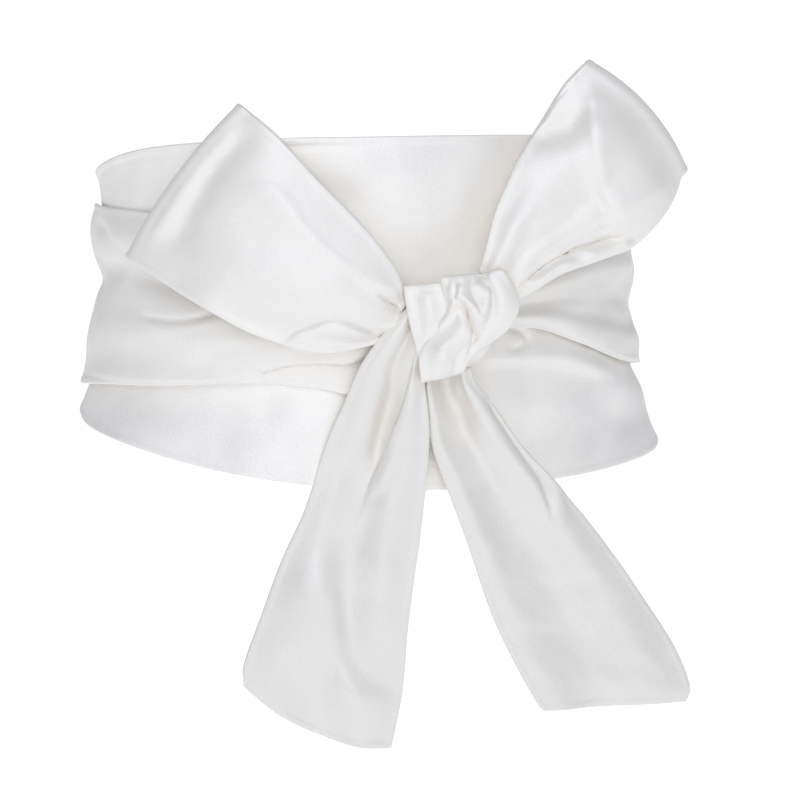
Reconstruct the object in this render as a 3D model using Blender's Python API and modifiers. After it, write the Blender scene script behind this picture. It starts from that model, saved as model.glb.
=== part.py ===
"""Satin wrap sash, worn round a waist and tied in a bow at the front.

Tables are in millimetres and degrees, Blender is in metres. The front faces -Y, +Z is up, the Z axis
is the middle of the waist, and z 0 is half way up the front panel.

The panel and the two ties lie on the waist: a turn is the angle round it from the front, positive
towards +X. The bow's tables are laid out square to a viewer who stands BOW_TURN round from the front:
right runs across that view, out comes towards the viewer, and up is Z.
"""

import math

import bpy

MM = 0.001
WALL = 1.2
WAIST_HALF_WIDTH = 135.0
WAIST_HALF_DEPTH = 100.0
BOW_TURN = math.radians(-24.0)

PANEL_END = 132.0
PANEL_REACH = 0.2
TIE_START = 0.25
BACK_PLEATS = 4
SIDE_AT = 120.0
FOLD_FADE = 20.0
TUCK_EDGE = 0.05

PANEL_ALONG, PANEL_ACROSS = 33, 8
TIE_ALONG, TIE_ACROSS = 45, 13
LOOP_ALONG, LOOP_ACROSS, LOOP_BEND = 9, 9, 4
TAIL_ALONG, TAIL_ACROSS = 14, 10
KNOT_ALONG, KNOT_ACROSS = 13, 9
CORE_RINGS, CORE_SIDES = 7, 14
ROUGHNESS = 0.38

SATIN = {
    "panel": (0.86, 0.86, 0.87),
    "tie": (0.84, 0.84, 0.85),
    "bow": (0.88, 0.88, 0.88),
}

PANEL = (
    # turn, top, bottom, out_top, out_middle, out_bottom
    (-180, 42, -42, -2, -4, -2),
    (-150, 43, -43, -2, -4, -1),
    (-125, 50, -49, -2, -5, 2),
    (-100, 59, -56, -1, -6, 7),
    (-72, 71, -63.5, 0, -4, 4),
    (-45, 77, -73, 0, -2, 2),
    (-15, 78.5, -80.5, 0, 0, 0),
    (15, 77.5, -81.5, 0, 0, 1),
    (45, 74, -80, 0, -6, 4),
    (70, 69, -77, -1, -11, 8),
    (100, 60, -66, -1, -10, 5),
    (125, 50, -52, -2, -6, 2),
    (150, 43, -43, -2, -4, -1),
    (180, 42, -42, -2, -4, -2),
)

TIE_LEFT = (
    # along, top, bottom, lift, pleat: along is the turn from the panel's end, round the back
    (0, 48, -48, 0, 0),
    (12, 46, -16, 1.2, 0.6),
    (20, 46, 5, 2.8, 0.8),
    (30, 40, -1, 7, 1),
    (48, 22, -22, 9.5, 1.2),
    (66, 1, -41, 7, 1),
    (76, -4, -46, 5, 0.8),
    (86, 10, -47, 5, 0.8),
    (98, 30, -46, 4.5, 0.6),
    (110, 39, -43, 4.2, 0.3),
    (120, 42.5, -42, 4.2, 0),
    (145, 43.5, -37, 4, 0),
    (165, 42, -34.5, 4, 0),
    (186, 33, -31.5, 4.4, 0),
    (199, 23, -33.5, 4.8, 0),
    (209, 13, -36, 5, 0),
    (221.5, 4, -18, 6, 0),
)

TIE_RIGHT = (
    # along, top, bottom, lift, pleat
    (0, 48, -48, 0, 0),
    (12, 46, -16, 1.2, 0.6),
    (20, 46, 5, 1.7, 0.8),
    (30, 40, -1, 1.9, 0.8),
    (48, 22, -22, 2.2, 0.9),
    (64, 4, -39, 2.2, 0.8),
    (70, -1, -43, 3, 0.8),
    (76, -4, -46, 4.5, 0.8),
    (86, 9, -47, 5, 0.8),
    (98, 25, -46, 4.6, 0.6),
    (110, 29, -45, 4.6, 0.3),
    (132, 27, -44, 4.6, 0),
    (158, 22, -38.5, 5, 0),
    (174, 25, -34.5, 4.5, 0),
    (186, 27.5, -29, 4.5, 0),
    (199, 23.5, -20, 4.8, 0),
    (211, 15, -11, 5, 0),
    (225, 6.5, -6, 9.9, 0),
)

FOLDS_LEFT = (
    # at_side, at_knot, width_side, width_knot, height_side, height_knot
    (0.18, 0.16, 0.12, 0.10, 2.8, 1.2),
    (0.42, 0.38, 0.07, 0.07, -2.6, -1.8),
    (0.72, 0.58, 0.15, 0.09, 2.0, 1.6),
    (0.92, 0.74, 0.08, 0.05, 0.5, -0.5),
)

FOLDS_RIGHT = (
    # at_side, at_knot, width_side, width_knot, height_side, height_knot
    (0.24, 0.26, 0.10, 0.12, 2.6, 0.6),
    (0.50, 0.52, 0.07, 0.09, -3.2, -0.8),
    (0.80, 0.78, 0.10, 0.10, 2.2, 1.0),
    (0.97, 0.95, 0.06, 0.06, -0.6, -0.4),
)

TUCK_LEFT = (
    # along, at, drop: below the tuck's edge the left tie's under ply lies this much nearer the waist
    (0, 1.2, 0),
    (184, 1.1, 0),
    (190, 0.93, 1.5),
    (199, 0.76, 2.6),
    (209, 0.66, 2.6),
    (221.5, 0.62, 2.4),
)

LOOP_LEFT_BOW = 3.6
LOOP_RIGHT_BOW = 6.0

LOOP_LEFT = (
    # run, upper_right, upper_up, upper_out, lower_right, lower_up, lower_out, crown, hollow
    (0.00, 16, 6.5, 113.5, 11, -10.5, 112.8, 0.5, 2.3),
    (0.10, 14.3, 11.4, 114.3, 1, -12.5, 114.2, 1.2, 2.8),
    (0.25, 10, 22.2, 117.5, -19.5, -16, 120.5, 2.5, 5),
    (0.40, 1, 35.1, 119, -37, -12.2, 123.5, 3, 7),
    (0.55, -10.5, 47.8, 119, -55, -5.8, 123, 3, 8),
    (0.70, -23.5, 60.9, 118.5, -73.5, 4.2, 119, 3, 8),
    (0.85, -40.2, 79, 116.5, -89.5, 12.9, 111, 2.5, 7.5),
    (1.00, -54.8, 91.2, 112, -106.4, 22.4, 100.3, 2, 6),
)

LOOP_RIGHT = (
    # run, upper_right, upper_up, upper_out, lower_right, lower_up, lower_out, crown, hollow
    (0.00, 48, 19.5, 112, 61, 4, 111, 0.5, 2.3),
    (0.12, 51, 28.7, 111, 70.5, 9, 110, 2, 3.5),
    (0.26, 55, 44, 107, 85, 17.2, 105.5, 4, 6),
    (0.40, 61, 57.7, 101.5, 101, 22.1, 98, 6, 9),
    (0.56, 68, 71.2, 96.5, 117, 28.2, 90, 7, 11),
    (0.72, 77, 84.9, 92, 130, 39.8, 83, 6, 11),
    (0.86, 86.5, 99.8, 88, 137, 49.9, 77, 4, 9.5),
    (1.00, 94.6, 108.4, 85, 140.6, 58.1, 73, 2, 8),
)

FOLDS_LOOP_LEFT = (
    # at_root, at_end, width_root, width_end, height_root, height_end
    (0.30, 0.34, 0.10, 0.10, -2.2, 0),
    (0.62, 0.60, 0.10, 0.16, 1.2, 1.0),
    (0.86, 0.84, 0.07, 0.08, -1.2, -0.4),
)

FOLDS_LOOP_RIGHT = (
    # at_root, at_end, width_root, width_end, height_root, height_end
    (0.28, 0.30, 0.12, 0.10, 1.5, 1.2),
    (0.55, 0.55, 0.10, 0.12, -1.5, -2.0),
    (0.80, 0.80, 0.08, 0.10, 1.2, 0.8),
)

TAIL_LEFT = (
    # run, left_right, left_up, left_out, right_right, right_up, right_out, crown, sag
    (0.00, 15, 11, 117, 29, 13, 118, 0.3, 0),
    (0.06, 12, 1, 118, 30.5, 2, 118.5, 0.8, 0),
    (0.12, 4, -9.5, 117.5, 27, -9.5, 117, 1.2, 0),
    (0.18, -2.5, -22, 115, 22.5, -21.5, 114, 1.5, 0),
    (0.27, -12, -40.5, 111.5, 26, -43.4, 110.2, 2, 0),
    (0.36, -20, -59.4, 110, 26.5, -59.6, 108.2, 2, 0),
    (0.50, -29.5, -88.4, 109.5, 23, -96.6, 107, 2, 0),
    (0.62, -39.5, -110.4, 109, 20, -119.7, 107, 2, 0),
    (0.76, -49, -136, 109.5, 17, -142.7, 107, 2, 2),
    (0.90, -57, -158.5, 110.5, 14.5, -172.7, 107, 1.5, 5),
    (1.00, -57, -168.5, 111, 9.5, -197.7, 107.5, 1, 8),
)

TAIL_RIGHT = (
    # run, left_right, left_up, left_out, right_right, right_up, right_out, crown, sag
    (0.00, 25, -24, 109, 45, -24, 107.5, 0.5, 0),
    (0.06, 23.5, -31.1, 108.5, 47, -31.2, 105, 1, 0),
    (0.13, 24.5, -43.4, 106.6, 55.5, -42.3, 101.5, 1.2, 0),
    (0.24, 28, -61.6, 105, 69, -61.7, 95.5, 2, 0),
    (0.35, 34.5, -79.7, 103.5, 84.5, -79.4, 91, 2, 0),
    (0.50, 43, -102.8, 102, 103.4, -102.7, 87, 2, 0),
    (0.73, 55, -138.3, 100, 127.6, -137.8, 83, 2, 0),
    (0.88, 66, -161.8, 99, 140.2, -158.4, 81.5, 1.5, 0),
    (0.97, 76, -179.8, 98, 146.8, -175.9, 80.5, 1, 0),
    (1.00, 79, -182.8, 98, 144.8, -182.4, 80.5, 0.5, 0),
)

FOLDS_TAIL_LEFT = (
    # at_root, at_end, width_root, width_end, height_root, height_end
    (0.22, 0.22, 0.12, 0.16, 1.0, 1.8),
    (0.52, 0.52, 0.09, 0.14, -2.0, -2.2),
    (0.78, 0.80, 0.10, 0.14, 1.6, 1.6),
)

FOLDS_TAIL_RIGHT = (
    # at_root, at_end, width_root, width_end, height_root, height_end
    (0.12, 0.14, 0.08, 0.12, 2.0, 1.4),
    (0.45, 0.42, 0.14, 0.16, -4.0, -1.8),
    (0.80, 0.80, 0.09, 0.14, 2.4, 1.6),
)

KNOT = (
    # run, left_right, left_up, left_out, right_right, right_up, right_out, crown, sag
    (0.00, 33, 15, 117.5, 58, 18, 115.5, 0, 0),
    (0.10, 31, 17, 120, 59, 20.5, 118.5, 1, 0),
    (0.25, 32.4, 10.5, 121, 64.5, 10.5, 118, 4, 0),
    (0.42, 32.4, 1.7, 121, 64.8, 1.4, 117.5, 5, 0),
    (0.58, 28.5, -5.5, 121, 59, -7, 117.5, 5, 0),
    (0.76, 22, -16, 120.5, 47, -16.5, 117, 4, 0),
    (0.92, 22.5, -28, 119, 42, -24, 116, 1, 0),
    (1.00, 23, -29.5, 117.5, 41.5, -25.5, 114, 0, 0),
)

FOLDS_KNOT = (
    # at_root, at_end, width_root, width_end, height_root, height_end
    (0.30, 0.40, 0.12, 0.14, 1.4, 1.4),
    (0.62, 0.72, 0.08, 0.10, -2.4, -1.0),
)

CORE_RIGHT, CORE_OUT, CORE_UP = 42.0, 108.3, -3.0
CORE_HALF_WIDTH, CORE_HALF_DEPTH, CORE_HALF_HEIGHT = 14.0, 11.8, 20.3


def read(table, at):
    """The table's row at a value of its first column, as a smooth curve through the rows."""
    last = len(table) - 2
    i = max(0, min(last, sum(row[0] <= at for row in table) - 1))
    low, high = table[i], table[i + 1]
    before = table[max(0, i - 1)]
    after = table[min(len(table) - 1, i + 2)]
    span = high[0] - low[0]
    t = (at - low[0]) / span
    values = []
    for b, p, q, a in zip(before[1:], low[1:], high[1:], after[1:]):
        leave = span * (q - b) / (high[0] - before[0])
        arrive = span * (a - p) / (after[0] - low[0])
        value = p * (2 * t**3 - 3 * t**2 + 1) + q * (3 * t**2 - 2 * t**3)
        values.append(value + leave * (t**3 - 2 * t**2 + t) + arrive * (t**3 - t**2))
    return values


def steps(first, last, count):
    """Count + 1 even values from first to last."""
    return [first + (last - first) * i / count for i in range(count + 1)]


def fold_height(folds, at, along):
    """How far the folds lift the cloth at a place across it, part way along from root to end."""
    height = 0.0
    for at_root, at_end, width_root, width_end, height_root, height_end in folds:
        middle = at_root + (at_end - at_root) * along
        width = width_root + (width_end - width_root) * along
        lift = height_root + (height_end - height_root) * along
        height += lift * math.exp(-(((at - middle) / width) ** 2))
    return height


def waist_point(turn, up, lift):
    """A point on the worn panel's surface, or lifted off it."""
    turn = (turn + 180.0) % 360.0 - 180.0
    top, bottom, out_top, out_middle, out_bottom = read(PANEL, turn)
    s = max(-PANEL_REACH, min(1 + PANEL_REACH, (top - up) / (top - bottom)))
    bend = 2 * (out_top + out_bottom - 2 * out_middle)
    out = out_top + s * (out_bottom - out_top - bend * (1 - s)) + lift
    angle = math.radians(turn)
    across, depth = math.sin(angle), -math.cos(angle)
    normal = (across / WAIST_HALF_WIDTH, depth / WAIST_HALF_DEPTH)
    size = math.hypot(*normal)
    x = WAIST_HALF_WIDTH * across + out * normal[0] / size
    y = WAIST_HALF_DEPTH * depth + out * normal[1] / size
    return (x, y, up)


def bow_point(right, out, up):
    """A point given in the bow's own view."""
    x = right * math.cos(BOW_TURN) + out * math.sin(BOW_TURN)
    y = right * math.sin(BOW_TURN) - out * math.cos(BOW_TURN)
    return (x, y, up)


def panel_sheet():
    """The front panel, from end to end round the front of the waist."""
    grid = []
    for turn in steps(-PANEL_END, PANEL_END, PANEL_ALONG):
        top, bottom = read(PANEL, turn)[:2]
        grid.append([waist_point(turn, up, 0.0) for up in steps(top, bottom, PANEL_ACROSS)])
    return grid


def tie_sheet(side, table, folds, tuck):
    """One tie, from the panel's end on the other side, round the back and forward to the knot."""
    grid = []
    last = table[-1][0]
    for at in steps(TIE_START, last, TIE_ALONG):
        top, bottom, lift, pleat = read(table, at)
        share = max(0.0, (at - SIDE_AT) / (last - SIDE_AT))
        grown = max(0.0, min(1.0, (at - SIDE_AT + FOLD_FADE) / FOLD_FADE))
        line = []
        for s in steps(0.0, 1.0, TIE_ACROSS):
            out = lift + pleat * math.cos(2 * math.pi * BACK_PLEATS * s)
            out += grown * fold_height(folds, s, share)
            if tuck:
                edge, drop = read(tuck, at)
                out -= drop * max(0.0, min(1.0, (s - edge) / TUCK_EDGE))
            line.append(waist_point(side * (PANEL_END + at), top + (bottom - top) * s, out))
        grid.append(line)
    return grid


def across_strip(row, folds, run, across):
    """One line of points across a strip of the bow, as right, out and up."""
    r0, z0, o0, r1, z1, o1, crown = row[:7]
    line = []
    for s in steps(0.0, 1.0, across):
        out = o0 + (o1 - o0) * s + crown * 4 * s * (1 - s) + fold_height(folds, s, run)
        line.append([r0 + (r1 - r0) * s, out, z0 + (z1 - z0) * s])
    return line


def loop_heading(table):
    """The way that a loop points, square to the fold at its end, as right and up."""
    r0, z0, _, r1, z1 = table[-1][1:6]
    size = math.hypot(r1 - r0, z1 - z0)
    heading = ((z1 - z0) / size, (r0 - r1) / size)
    if heading[0] * (r0 - table[0][1]) + heading[1] * (z0 - table[0][2]) < 0:
        heading = (-heading[0], -heading[1])
    return heading


def loop_sheet(table, folds, bow):
    """A loop: out along its front ply, round the bowed fold at its end and back along the ply behind."""
    ahead = loop_heading(table)
    front, back = [], []
    for run in steps(0.0, 1.0, LOOP_ALONG):
        row = read(table, run)
        line = across_strip(row, folds, run, LOOP_ACROSS)
        for i, point in enumerate(line):
            s = i / LOOP_ACROSS
            reach = bow * run**2 * 4 * s * (1 - s)
            point[0] += ahead[0] * reach
            point[2] += ahead[1] * reach
        front.append(line)
        back.append([[r, o - row[7], z] for r, o, z in line])
    bend = []
    for angle in steps(0.0, math.pi, LOOP_BEND)[1:-1]:
        line = []
        for (r, o, z), (_, o_back, _) in zip(front[-1], back[-1]):
            radius = (o - o_back) / 2
            reach = radius * math.sin(angle)
            out = o_back + radius * (1 + math.cos(angle))
            line.append([r + ahead[0] * reach, out, z + ahead[1] * reach])
        bend.append(line)
    lines = front + bend + back[::-1]
    return [[bow_point(*point) for point in line] for line in lines]


def strip_sheet(table, folds, along, across):
    """A tail or the knot's band, from its root to its end."""
    grid = []
    for run in steps(0.0, 1.0, along):
        row = read(table, run)
        line = across_strip(row, folds, run, across)
        for i, point in enumerate(line):
            s = i / across
            point[2] -= row[7] * 4 * s * (1 - s)
        grid.append([bow_point(*point) for point in line])
    return grid


def satin(name, colour):
    material = bpy.data.materials.new(name)
    material.use_nodes = True
    shader = material.node_tree.nodes["Principled BSDF"]
    shader.inputs["Base Color"].default_value = (*SATIN[colour], 1.0)
    shader.inputs["Roughness"].default_value = ROUGHNESS
    shader.inputs["Metallic"].default_value = 0.0
    return material


def add_mesh(name, points, faces, colour, collection):
    mesh = bpy.data.meshes.new(name)
    mesh.from_pydata([[v * MM for v in point] for point in points], [], faces)
    mesh.materials.append(satin(name + "_satin", colour))
    mesh.shade_smooth()
    obj = bpy.data.objects.new(name, mesh)
    collection.objects.link(obj)
    return obj


def add_cloth(name, grid, colour, collection):
    """A sheet of cloth through a grid of points, given its wall."""
    width = len(grid[0])
    points = [point for line in grid for point in line]
    faces = []
    for i in range(len(grid) - 1):
        for j in range(width - 1):
            a = i * width + j
            faces.append((a, a + 1, a + width + 1, a + width))
    obj = add_mesh(name, points, faces, colour, collection)
    wall = obj.modifiers.new("Wall", "SOLIDIFY")
    wall.thickness = WALL * MM
    wall.offset = 0.0
    wall.use_even_offset = True
    return obj


def add_core(name, collection):
    """The rounded mass of gathered cloth inside the knot."""
    points = [bow_point(CORE_RIGHT, CORE_OUT, CORE_UP + CORE_HALF_HEIGHT)]
    for tilt in steps(0.0, math.pi, CORE_RINGS)[1:-1]:
        for i in range(CORE_SIDES):
            angle = 2 * math.pi * i / CORE_SIDES
            right = CORE_RIGHT + CORE_HALF_WIDTH * math.sin(tilt) * math.cos(angle)
            out = CORE_OUT + CORE_HALF_DEPTH * math.sin(tilt) * math.sin(angle)
            points.append(bow_point(right, out, CORE_UP + CORE_HALF_HEIGHT * math.cos(tilt)))
    points.append(bow_point(CORE_RIGHT, CORE_OUT, CORE_UP - CORE_HALF_HEIGHT))
    last = len(points) - 1
    faces = []
    for i in range(CORE_SIDES):
        j = (i + 1) % CORE_SIDES
        faces.append((0, 1 + j, 1 + i))
        for ring in range(CORE_RINGS - 2):
            a = 1 + ring * CORE_SIDES
            b = a + CORE_SIDES
            faces.append((a + i, a + j, b + j, b + i))
        faces.append((last, last - CORE_SIDES + i, last - CORE_SIDES + j))
    add_mesh(name, points, faces, "bow", collection)


def main():
    for obj in list(bpy.data.objects):
        bpy.data.objects.remove(obj)
    sash = bpy.data.collections.new("satin_sash")
    bpy.context.scene.collection.children.link(sash)
    add_cloth("front_panel", panel_sheet(), "panel", sash)
    add_cloth("tie_left", tie_sheet(1, TIE_LEFT, FOLDS_LEFT, TUCK_LEFT), "tie", sash)
    add_cloth("tie_right", tie_sheet(-1, TIE_RIGHT, FOLDS_RIGHT, None), "tie", sash)
    add_cloth("loop_left", loop_sheet(LOOP_LEFT, FOLDS_LOOP_LEFT, LOOP_LEFT_BOW), "bow", sash)
    add_cloth("loop_right", loop_sheet(LOOP_RIGHT, FOLDS_LOOP_RIGHT, LOOP_RIGHT_BOW), "bow", sash)
    add_cloth("tail_left", strip_sheet(TAIL_LEFT, FOLDS_TAIL_LEFT, TAIL_ALONG, TAIL_ACROSS), "bow", sash)
    add_cloth("tail_right", strip_sheet(TAIL_RIGHT, FOLDS_TAIL_RIGHT, TAIL_ALONG, TAIL_ACROSS), "bow", sash)
    add_cloth("knot_band", strip_sheet(KNOT, FOLDS_KNOT, KNOT_ALONG, KNOT_ACROSS), "bow", sash)
    add_core("knot_core", sash)


main()
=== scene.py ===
"""Satin wrap sash: the cloth, its creases, material, light and camera.

Tables are in millimetres and degrees, Blender is in metres. On the waist a turn is the angle round it
from the front, positive towards +X. The bow's tables are laid out square to a viewer who stands
BOW_TURN round from the front: right runs across that view, out comes towards the viewer, up is Z.
"""

import math

import bpy
import numpy as np
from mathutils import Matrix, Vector

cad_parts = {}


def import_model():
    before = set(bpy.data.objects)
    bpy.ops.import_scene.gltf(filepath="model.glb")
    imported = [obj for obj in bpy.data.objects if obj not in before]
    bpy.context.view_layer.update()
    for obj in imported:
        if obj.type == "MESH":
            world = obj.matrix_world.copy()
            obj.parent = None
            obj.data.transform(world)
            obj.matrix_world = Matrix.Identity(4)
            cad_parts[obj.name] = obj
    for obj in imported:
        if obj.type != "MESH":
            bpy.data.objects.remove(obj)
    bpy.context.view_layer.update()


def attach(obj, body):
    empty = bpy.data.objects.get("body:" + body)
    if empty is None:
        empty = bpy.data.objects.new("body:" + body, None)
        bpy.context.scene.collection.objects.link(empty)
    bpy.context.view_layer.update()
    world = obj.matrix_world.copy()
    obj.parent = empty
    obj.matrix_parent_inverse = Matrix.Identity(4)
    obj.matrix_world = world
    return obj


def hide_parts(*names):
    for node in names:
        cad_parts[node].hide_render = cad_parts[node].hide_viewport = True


MM = 0.001
WAIST_HALF_WIDTH = 135.0
WAIST_HALF_DEPTH = 100.0
BOW_TURN = math.radians(-24.0)
BOW_OUTWARD = (math.sin(BOW_TURN), -math.cos(BOW_TURN), 0)

# In degrees: the panel's ends, and the ties, whose "along" is counted from those ends past the back.
# Their folds begin at SIDE_AT and grow over FOLD_FADE. The panel's surface goes on past its hems by
# the share PANEL_REACH.
PANEL_END = 132.0
PANEL_REACH = 0.2
TIE_START = 0.25
BACK_PLEATS = 4
SIDE_AT = 120.0
FOLD_FADE = 20.0

# Half the cloth's thickness, and its hems: rounded edge, rolled bead, where the bead ends and how soon
HALF_WALL = 0.55
HEM_ROUND = 0.8
HEM_BEAD = 0.22
HEM_WIDTH = 2.6
HEM_EASE_FROM, HEM_EASE = 0.7, 0.9

# The line of stitches under the panel's top hem
STITCH_DEPTH, STITCH_BELOW, STITCH_WIDTH = 0.30, 4.0, 0.9

# Rough sizes of the flat cloths and the steps of their grids
PANEL_LENGTH, PANEL_HEIGHT, PANEL_STEP = 545, 160, 1.6
TIE_LENGTH, TIE_STEP = 465, 1.5
TIE_WIDTH, TIE_STEP_ACROSS = 72, 1.35
LOOP_WIDTH, LOOP_STEP = 84, 1.3
HEM_STEPS = (0, 0.12, 0.35, 0.7, 1.2, 1.9, 2.6, 3.4)
INNER_FROM, FEWEST_INNER = 4.4, 4
UV_PER_METRE = 10

# The fold at a loop's end: its points, how many rows it takes the place of, and the rows that aim it
LOOP_BEND_POINTS = 16
LOOP_OVERLAP = 3
LOOP_AIM = 6
STEEPEST_AIM = 0.7
LOOP_BACK_SWELL, LOOP_BACK_SWELL_SIZE, LOOP_BACK_FADE = 0.3, 34, 0.1

# Where a cloth doubles under itself: half the fold's width and how soon the lower ply comes back up
PLY_TIE_MOST, PLY_TAIL_MOST = 3.0, 3.4
PLY_SHARE, PLY_SPAN = 0.1, 1.5
PLY_INSIDE = (0.015, 0.985)
PLY_EDGE = 0.55
PLY_FAR = 16
PLY_KEPT = 0.35

# Swells of a cloth: lift, size and stretch along its height
SWELLS_PANEL = ((0.75, 62, 1), (0.16, 19, 1))
SWELLS_TIE = ((0.25, 46, 2.2), (0.08, 15, 1))
SWELLS_LOOP = ((0.25, 40, 1), (0.08, 14, 1))
SWELLS_STRIP = ((0.22, 36, 1), (0.07, 13, 1))
WAVES = 9
WAVE_SIZES = (0.7, 1.6)

# Creases: the spacing of a line's points, how many widths they reach, how soon the width on one side
# turns into the width on the other, the share of the line over which they end, and how close points add up
CREASE_STEP_LEAST, CREASE_STEP_SHARE = 0.4, 0.3
CREASE_REACH = 2.6
CREASE_BLEND = 1.6
CREASE_END = 0.2
CREASE_CROWD = 0.886

PANEL = (
    # turn, top, bottom, out_top, out_middle, out_bottom
    (-180, 42, -42, -2, -4, -2),
    (-150, 43, -43, -2, -4, -1),
    (-125, 50, -49, -2, -5, 2),
    (-100, 59, -56, -1, -6, 7),
    (-72, 71, -63.5, 0, -4, 4),
    (-45, 77, -73, 0, -2, 2),
    (-15, 78.5, -80.5, 0, 0, 0),
    (15, 77.5, -81.5, 0, 0, 1),
    (45, 74, -80, 0, -6, 4),
    (70, 69, -77, -1, -11, 8),
    (100, 60, -66, -1, -10, 5),
    (125, 50, -52, -2, -6, 2),
    (150, 43, -43, -2, -4, -1),
    (180, 42, -42, -2, -4, -2),
)

TIE_LEFT = (
    # along, top, bottom, lift, pleat
    (0, 48, -48, 0, 0),
    (12, 46, -16, 1.2, 0.6),
    (20, 46, 5, 2.8, 0.8),
    (30, 40, -1, 7, 1),
    (48, 22, -22, 9.5, 1.2),
    (66, 1, -41, 7, 1),
    (76, -4, -46, 5, 0.8),
    (86, 10, -47, 5, 0.8),
    (98, 30, -46, 4.5, 0.6),
    (110, 39, -43, 4.2, 0.3),
    (120, 42.5, -42, 4.2, 0),
    (145, 43.5, -37, 4, 0),
    (165, 42, -34.5, 4, 0),
    (186, 33, -31.5, 4.4, 0),
    (199, 23, -33.5, 4.8, 0),
    (209, 13, -36, 5, 0),
    (221.5, 4, -18, 6, 0),
)

TIE_RIGHT = (
    # along, top, bottom, lift, pleat
    (0, 48, -48, 0, 0),
    (12, 46, -16, 1.2, 0.6),
    (20, 46, 5, 1.7, 0.8),
    (30, 40, -1, 1.9, 0.8),
    (48, 22, -22, 2.2, 0.9),
    (64, 4, -39, 2.2, 0.8),
    (70, -1, -43, 3, 0.8),
    (76, -4, -46, 4.5, 0.8),
    (86, 9, -47, 5, 0.8),
    (98, 25, -46, 4.6, 0.6),
    (110, 29, -45, 4.6, 0.3),
    (132, 27, -44, 4.6, 0),
    (158, 22, -38.5, 5, 0),
    (174, 25, -34.5, 4.5, 0),
    (186, 27.5, -29, 4.5, 0),
    (199, 23.5, -20, 4.8, 0),
    (211, 15, -11, 5, 0),
    (225, 6.5, -6, 9.9, 0),
)

LOOP_LEFT_BOW = 3.6
LOOP_RIGHT_BOW = 6.0

LOOP_LEFT = (
    # run, upper_right, upper_up, upper_out, lower_right, lower_up, lower_out, crown, hollow
    (0.00, 16, 6.5, 113.5, 11, -10.5, 112.8, 0.5, 2.3),
    (0.10, 14.3, 11.4, 114.3, 1, -12.5, 114.2, 1.2, 2.8),
    (0.25, 10, 22.2, 117.5, -19.5, -16, 120.5, 2.5, 5),
    (0.40, 1, 35.1, 119, -37, -12.2, 123.5, 3, 7),
    (0.55, -10.5, 47.8, 119, -55, -5.8, 123, 3, 8),
    (0.70, -23.5, 60.9, 118.5, -73.5, 4.2, 119, 3, 8),
    (0.85, -40.2, 79, 116.5, -89.5, 12.9, 111, 2.5, 7.5),
    (1.00, -54.8, 91.2, 112, -106.4, 22.4, 100.3, 2, 6),
)

LOOP_RIGHT = (
    # run, upper_right, upper_up, upper_out, lower_right, lower_up, lower_out, crown, hollow
    (0.00, 48, 19.5, 112, 61, 4, 111, 0.5, 2.3),
    (0.12, 51, 28.7, 111, 70.5, 9, 110, 2, 3.5),
    (0.26, 55, 44, 107, 85, 17.2, 105.5, 4, 6),
    (0.40, 61, 57.7, 101.5, 101, 22.1, 98, 6, 9),
    (0.56, 68, 71.2, 96.5, 117, 28.2, 90, 7, 11),
    (0.72, 77, 84.9, 92, 130, 39.8, 83, 6, 11),
    (0.86, 86.5, 99.8, 88, 137, 49.9, 77, 4, 9.5),
    (1.00, 94.6, 108.4, 85, 140.6, 58.1, 73, 2, 8),
)

TAIL_LEFT = (
    # run, left_right, left_up, left_out, right_right, right_up, right_out, crown, sag
    (0.00, 19, 7, 114.5, 28, 6, 114.5, 0.3, 0),
    (0.06, 12.2, -1.5, 115.8, 28, -3, 116, 0.8, 0),
    (0.12, 3.8, -10.5, 116.5, 27, -12, 116.2, 1.2, 0),
    (0.18, -4, -22.1, 115, 24.2, -24.1, 114, 1.5, 0),
    (0.27, -12, -40.5, 111.5, 26, -43.4, 110.2, 2, 0),
    (0.36, -20, -59.4, 110, 26.5, -59.6, 108.2, 2, 0),
    (0.50, -29.5, -88.4, 109.5, 23, -96.6, 107, 2, 0),
    (0.62, -39.5, -110.4, 109, 20, -119.7, 107, 2, 0),
    (0.76, -49, -136, 109.5, 17, -142.7, 107, 2, 2),
    (0.90, -57, -158.5, 110.5, 14.5, -172.7, 107, 1.5, 5),
    (1.00, -57, -168.5, 111, 9.5, -197.7, 107.5, 1, 8),
)

TAIL_RIGHT = (
    # run, left_right, left_up, left_out, right_right, right_up, right_out, crown, sag
    (0.00, 25, -24, 109, 45, -24, 107.5, 0.5, 0),
    (0.06, 23.5, -31.1, 108.5, 47, -31.2, 105, 1, 0),
    (0.13, 24.5, -43.4, 106.6, 55.5, -42.3, 101.5, 1.2, 0),
    (0.24, 28, -61.6, 105, 69, -61.7, 95.5, 2, 0),
    (0.35, 34.5, -79.7, 103.5, 84.5, -79.4, 91, 2, 0),
    (0.50, 43, -102.8, 102, 103.4, -102.7, 87, 2, 0),
    (0.73, 55, -138.3, 100, 127.6, -137.8, 83, 2, 0),
    (0.88, 66, -161.8, 99, 140.2, -158.4, 81.5, 1.5, 0),
    (0.97, 76, -179.8, 98, 146.8, -175.9, 80.5, 1, 0),
    (1.00, 79, -182.8, 98, 144.8, -182.4, 80.5, 0.5, 0),
)

KNOT = (
    # run, left_right, left_up, left_out, right_right, right_up, right_out, crown, sag
    (0.00, 33, 15, 117.5, 58, 18, 115.5, 0, 0),
    (0.10, 31, 17, 120, 59, 20.5, 118.5, 1, 0),
    (0.25, 32.4, 10.5, 121, 64.5, 10.5, 118, 4, 0),
    (0.42, 32.4, 1.7, 121, 64.8, 1.4, 117.5, 5, 0),
    (0.58, 28.5, -5.5, 121, 59, -7, 117.5, 5, 0),
    (0.76, 22, -16, 120.5, 47, -16.5, 117, 4, 0),
    (0.92, 22.5, -28, 119, 42, -24, 116, 1, 0),
    (1.00, 23, -29.5, 117.5, 41.5, -25.5, 114, 0, 0),
)

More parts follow.
